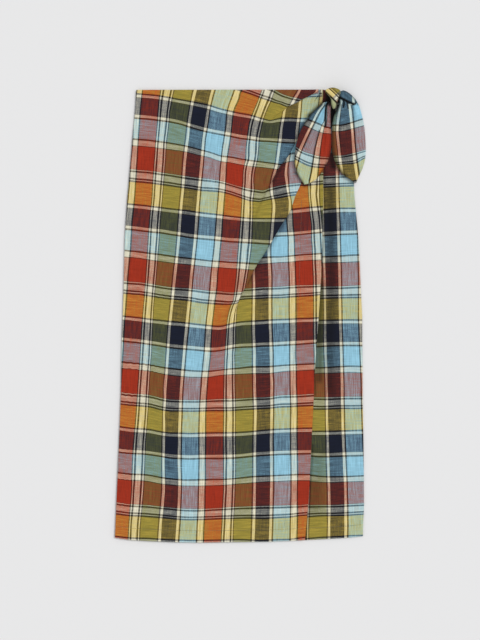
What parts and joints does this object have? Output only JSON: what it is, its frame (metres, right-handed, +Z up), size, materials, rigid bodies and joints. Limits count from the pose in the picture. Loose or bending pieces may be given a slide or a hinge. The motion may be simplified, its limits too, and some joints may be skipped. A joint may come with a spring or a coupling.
{
  "type": "wrap skirt",
  "caption": "Checked cotton wrap skirt laid flat, one front wrapped over the other and knotted at the side of the waist with leaf-shaped tie ends.",
  "frame": {"origin": "centre of the bounding box at the surface that the skirt lies on", "axes": "+Y from the hem to the waist, +Z up out of the front, +X to the right as seen from the front"},
  "size_m": [0.4518, 0.8182, 0.0286],
  "materials": {
    "back_cloth": "plain woven cotton check, matt",
    "under_cloth": "plain woven cotton check, matt",
    "over_cloth": "plain woven cotton check, matt",
    "knot_cloth": "plain woven cotton check, matt",
    "left_tie_cloth": "plain woven cotton check, matt",
    "right_tie_cloth": "plain woven cotton check, matt"
  },
  "bodies": {
    "root": {"back_panel": "back_cloth", "under_panel": "under_cloth", "over_panel": "over_cloth", "knot_wrap": "knot_cloth", "tail_left": "left_tie_cloth", "tail_right": "right_tie_cloth"}
  },
  "joints": []
}
